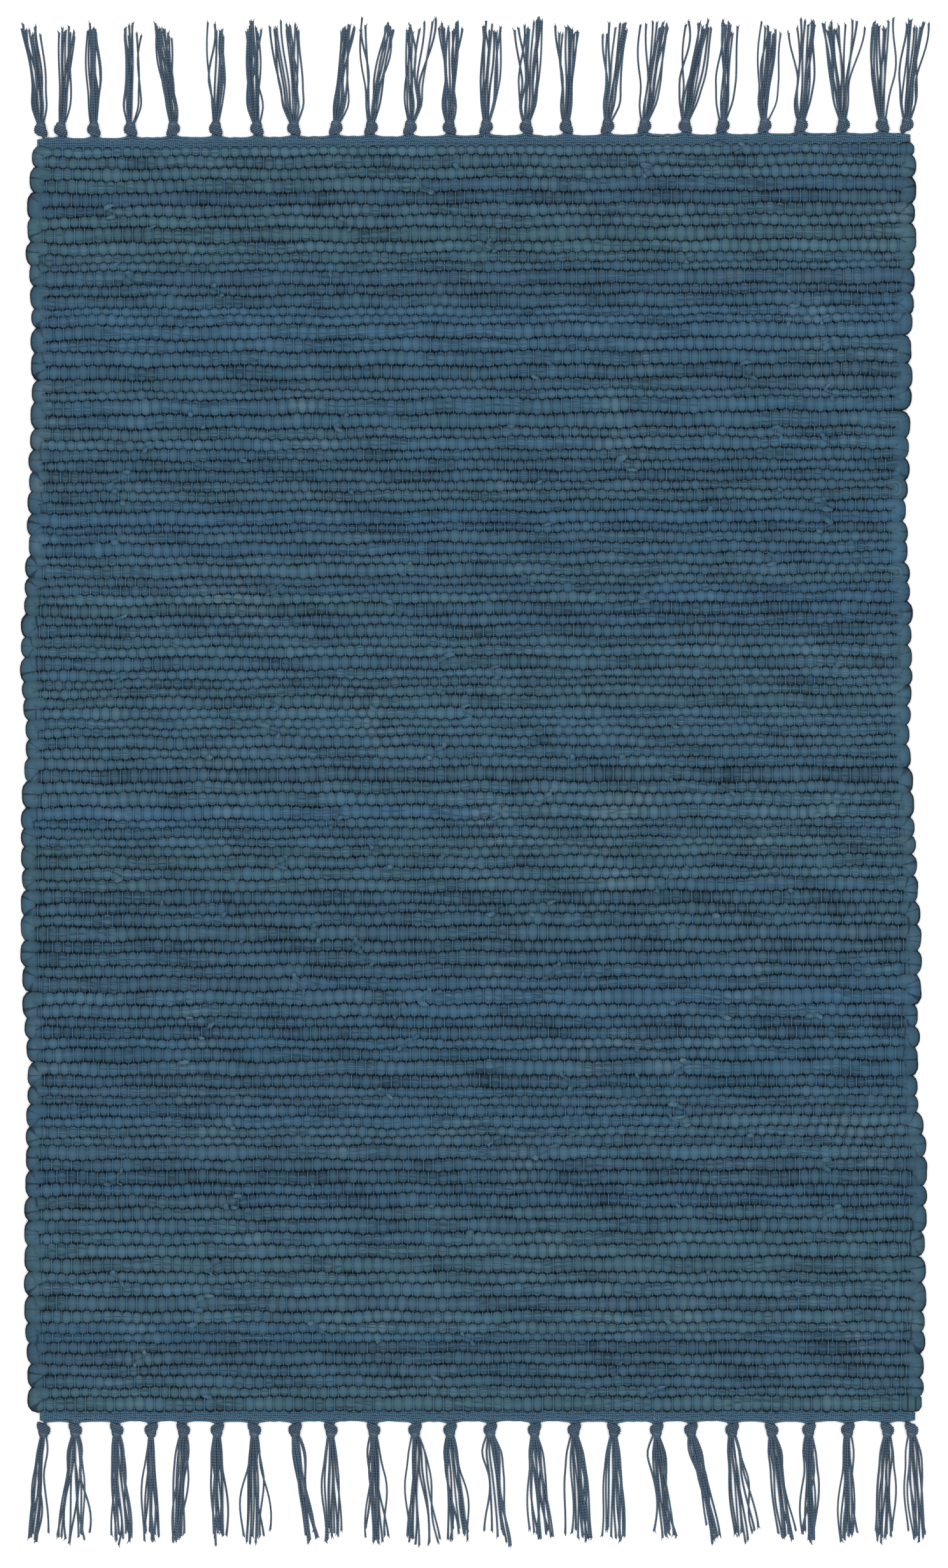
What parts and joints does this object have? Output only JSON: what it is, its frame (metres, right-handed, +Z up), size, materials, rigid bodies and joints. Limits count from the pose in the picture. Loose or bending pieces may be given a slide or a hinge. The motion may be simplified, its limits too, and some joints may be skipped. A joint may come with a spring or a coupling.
{
  "type": "rag rug",
  "caption": "Flat hand-woven cotton rag rug: thick ribbed rag rows with looped side edges, a fine woven heading at each end and knotted tassel fringes, lying flat on the floor",
  "frame": {"origin": "On the floor under the middle of the woven body, in the plane of the rug's flat underside.", "axes": "+X across the rug along its rag rows, +Y along the rug to its far end, +Z up from the floor."},
  "size_m": [0.6174, 1.0347, 0.0064],
  "materials": {
    "rag_weave": "matte woven cotton rag, uneven blue-grey rows",
    "heading_cotton": "matte fine plain-woven cotton yarn, dark blue",
    "fringe_cotton": "matte plied cotton warp yarn, mid blue"
  },
  "bodies": {
    "root": {"woven_body": "rag_weave", "heading_far": "heading_cotton", "heading_near": "heading_cotton", "tassel_far_01": "fringe_cotton", "tassel_far_02": "fringe_cotton", "tassel_far_03": "fringe_cotton", "tassel_far_04": "fringe_cotton", "tassel_far_05": "fringe_cotton", "tassel_far_06": "fringe_cotton", "tassel_far_07": "fringe_cotton", "tassel_far_08": "fringe_cotton", "tassel_far_09": "fringe_cotton", "tassel_far_10": "fringe_cotton", "tassel_far_11": "fringe_cotton", "tassel_far_12": "fringe_cotton", "tassel_far_13": "fringe_cotton", "tassel_far_14": "fringe_cotton", "tassel_far_15": "fringe_cotton", "tassel_far_16": "fringe_cotton", "tassel_far_17": "fringe_cotton", "tassel_far_18": "fringe_cotton", "tassel_far_19": "fringe_cotton", "tassel_far_20": "fringe_cotton", "tassel_far_21": "fringe_cotton", "tassel_far_22": "fringe_cotton", "tassel_far_23": "fringe_cotton", "tassel_far_24": "fringe_cotton", "tassel_near_01": "fringe_cotton", "tassel_near_02": "fringe_cotton", "tassel_near_03": "fringe_cotton", "tassel_near_04": "fringe_cotton", "tassel_near_05": "fringe_cotton", "tassel_near_06": "fringe_cotton", "tassel_near_07": "fringe_cotton", "tassel_near_08": "fringe_cotton", "tassel_near_09": "fringe_cotton", "tassel_near_10": "fringe_cotton", "tassel_near_11": "fringe_cotton", "tassel_near_12": "fringe_cotton", "tassel_near_13": "fringe_cotton", "tassel_near_14": "fringe_cotton", "tassel_near_15": "fringe_cotton", "tassel_near_16": "fringe_cotton", "tassel_near_17": "fringe_cotton", "tassel_near_18": "fringe_cotton", "tassel_near_19": "fringe_cotton", "tassel_near_20": "fringe_cotton", "tassel_near_21": "fringe_cotton", "tassel_near_22": "fringe_cotton", "tassel_near_23": "fringe_cotton", "tassel_near_24": "fringe_cotton"}
  },
  "joints": []
}
